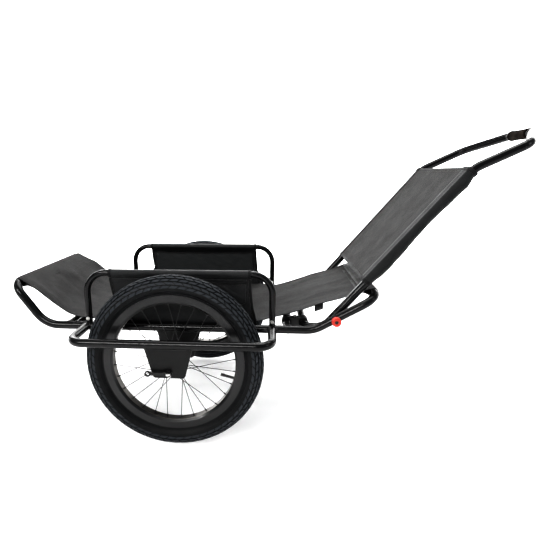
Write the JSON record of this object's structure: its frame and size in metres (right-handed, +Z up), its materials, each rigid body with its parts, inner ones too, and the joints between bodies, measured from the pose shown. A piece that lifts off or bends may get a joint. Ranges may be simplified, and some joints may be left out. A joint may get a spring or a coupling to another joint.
{
  "type": "game cart",
  "caption": "Two-wheeled game cart with a tube frame, fabric sling bed, side hoops and a folding pull handle.",
  "frame": {"origin": "on the ground, midway between the two wheels' contact points, straight below the axle line", "axes": "+X towards the handle (the way it is pulled), +Y to the cart's left side, +Z up"},
  "size_m": [1.6043, 0.8, 0.9382],
  "materials": {
    "frame_black": "semi-gloss powder coat",
    "plate_black": "satin powder coat",
    "fastener_steel": "zinc plated",
    "clamp_black": "moulded nylon",
    "spring_steel": "bright",
    "knob_red": "moulded",
    "grip_rubber": "matt",
    "tyre": "matt with tread",
    "tube_rubber": "matt",
    "rim_black": "satin black",
    "spoke_black": "black plated",
    "hub_black": "anodised black",
    "bearing_steel": "bright",
    "lever_black": "satin black",
    "sling_fabric": "woven mesh",
    "panel_fabric": "coated nylon"
  },
  "bodies": {
    "frame": {"main_frame": "frame_black", "front_cross_tubes": "frame_black", "rear_cross_tube": "frame_black", "hinge_clamp_caps": "clamp_black", "hinge_clamp_bases": "clamp_black", "hinge_clamp_bolts": "fastener_steel", "bed_sling": "sling_fabric", "wheel_guard_left": "frame_black", "wheel_guard_right": "frame_black", "inner_dropout_left": "plate_black", "inner_dropout_right": "plate_black", "outer_dropout_left": "plate_black", "outer_dropout_right": "plate_black", "side_hoop_left": "frame_black", "side_hoop_right": "frame_black", "hoop_stubs_left": "frame_black", "hoop_stubs_right": "frame_black", "hoop_bolts_left": "fastener_steel", "hoop_bolts_right": "fastener_steel", "lock_barrel_left": "plate_black", "lock_barrel_right": "plate_black", "lock_spring_left": "spring_steel", "lock_spring_right": "spring_steel", "axle_left": "bearing_steel", "axle_right": "bearing_steel", "axle_locknuts_left": "bearing_steel", "axle_locknuts_right": "bearing_steel", "skewer_left": "fastener_steel", "skewer_right": "fastener_steel", "skewer_cap_left": "hub_black", "skewer_cap_right": "hub_black", "skewer_nut_left": "hub_black", "skewer_nut_right": "hub_black", "side_panel_left": "panel_fabric", "side_panel_right": "panel_fabric", "side_pouch_left": "panel_fabric", "side_pouch_right": "panel_fabric"},
    "handle": {"handle_frame": "frame_black", "handle_panel": "sling_fabric", "grip_sleeve": "grip_rubber"},
    "wheel_left": {"tyre_left": "tyre", "inner_tube_left": "tube_rubber", "rim_left": "rim_black", "spokes_left": "spoke_black", "spoke_nipples_left": "spoke_black", "hub_shell_left": "hub_black", "hub_bearings_left": "bearing_steel"},
    "wheel_right": {"tyre_right": "tyre", "inner_tube_right": "tube_rubber", "rim_right": "rim_black", "spokes_right": "spoke_black", "spoke_nipples_right": "spoke_black", "hub_shell_right": "hub_black", "hub_bearings_right": "bearing_steel"},
    "lock_pin_left": {"lock_pin_left": "fastener_steel", "lock_knob_left": "knob_red"},
    "lock_pin_right": {"lock_pin_right": "fastener_steel", "lock_knob_right": "knob_red"},
    "quick_release_left": {"quick_release_lever_left": "lever_black"},
    "quick_release_right": {"quick_release_lever_right": "lever_black"}
  },
  "joints": [
    {"name": "handle_fold", "type": "hinge", "parent": "frame", "child": "handle", "pos_m": [0.384, 0, 0.3465], "axis": [0, -1, 0], "range_deg": [0, 120]},
    {"name": "wheel_left_spin", "type": "hinge", "parent": "frame", "child": "wheel_left", "pos_m": [0, 0.31, 0.265], "axis": [0, 1, 0], "continuous": true},
    {"name": "wheel_right_spin", "type": "hinge", "parent": "frame", "child": "wheel_right", "pos_m": [0, -0.31, 0.265], "axis": [0, 1, 0], "continuous": true},
    {"name": "lock_pin_left_pull", "type": "slide", "parent": "frame", "child": "lock_pin_left", "axis": [0, 1, 0], "range_m": [0, 0.01], "stiffness_N_per_m": 800},
    {"name": "lock_pin_right_pull", "type": "slide", "parent": "frame", "child": "lock_pin_right", "axis": [0, -1, 0], "range_m": [0, 0.01], "stiffness_N_per_m": 800},
    {"name": "quick_release_left_swing", "type": "hinge", "parent": "frame", "child": "quick_release_left", "pos_m": [0, 0.393, 0.265], "axis": [0, 0, -1], "range_deg": [0, 180]},
    {"name": "quick_release_right_swing", "type": "hinge", "parent": "frame", "child": "quick_release_right", "pos_m": [0, -0.393, 0.265], "axis": [0, 0, 1], "range_deg": [0, 180]}
  ]
}
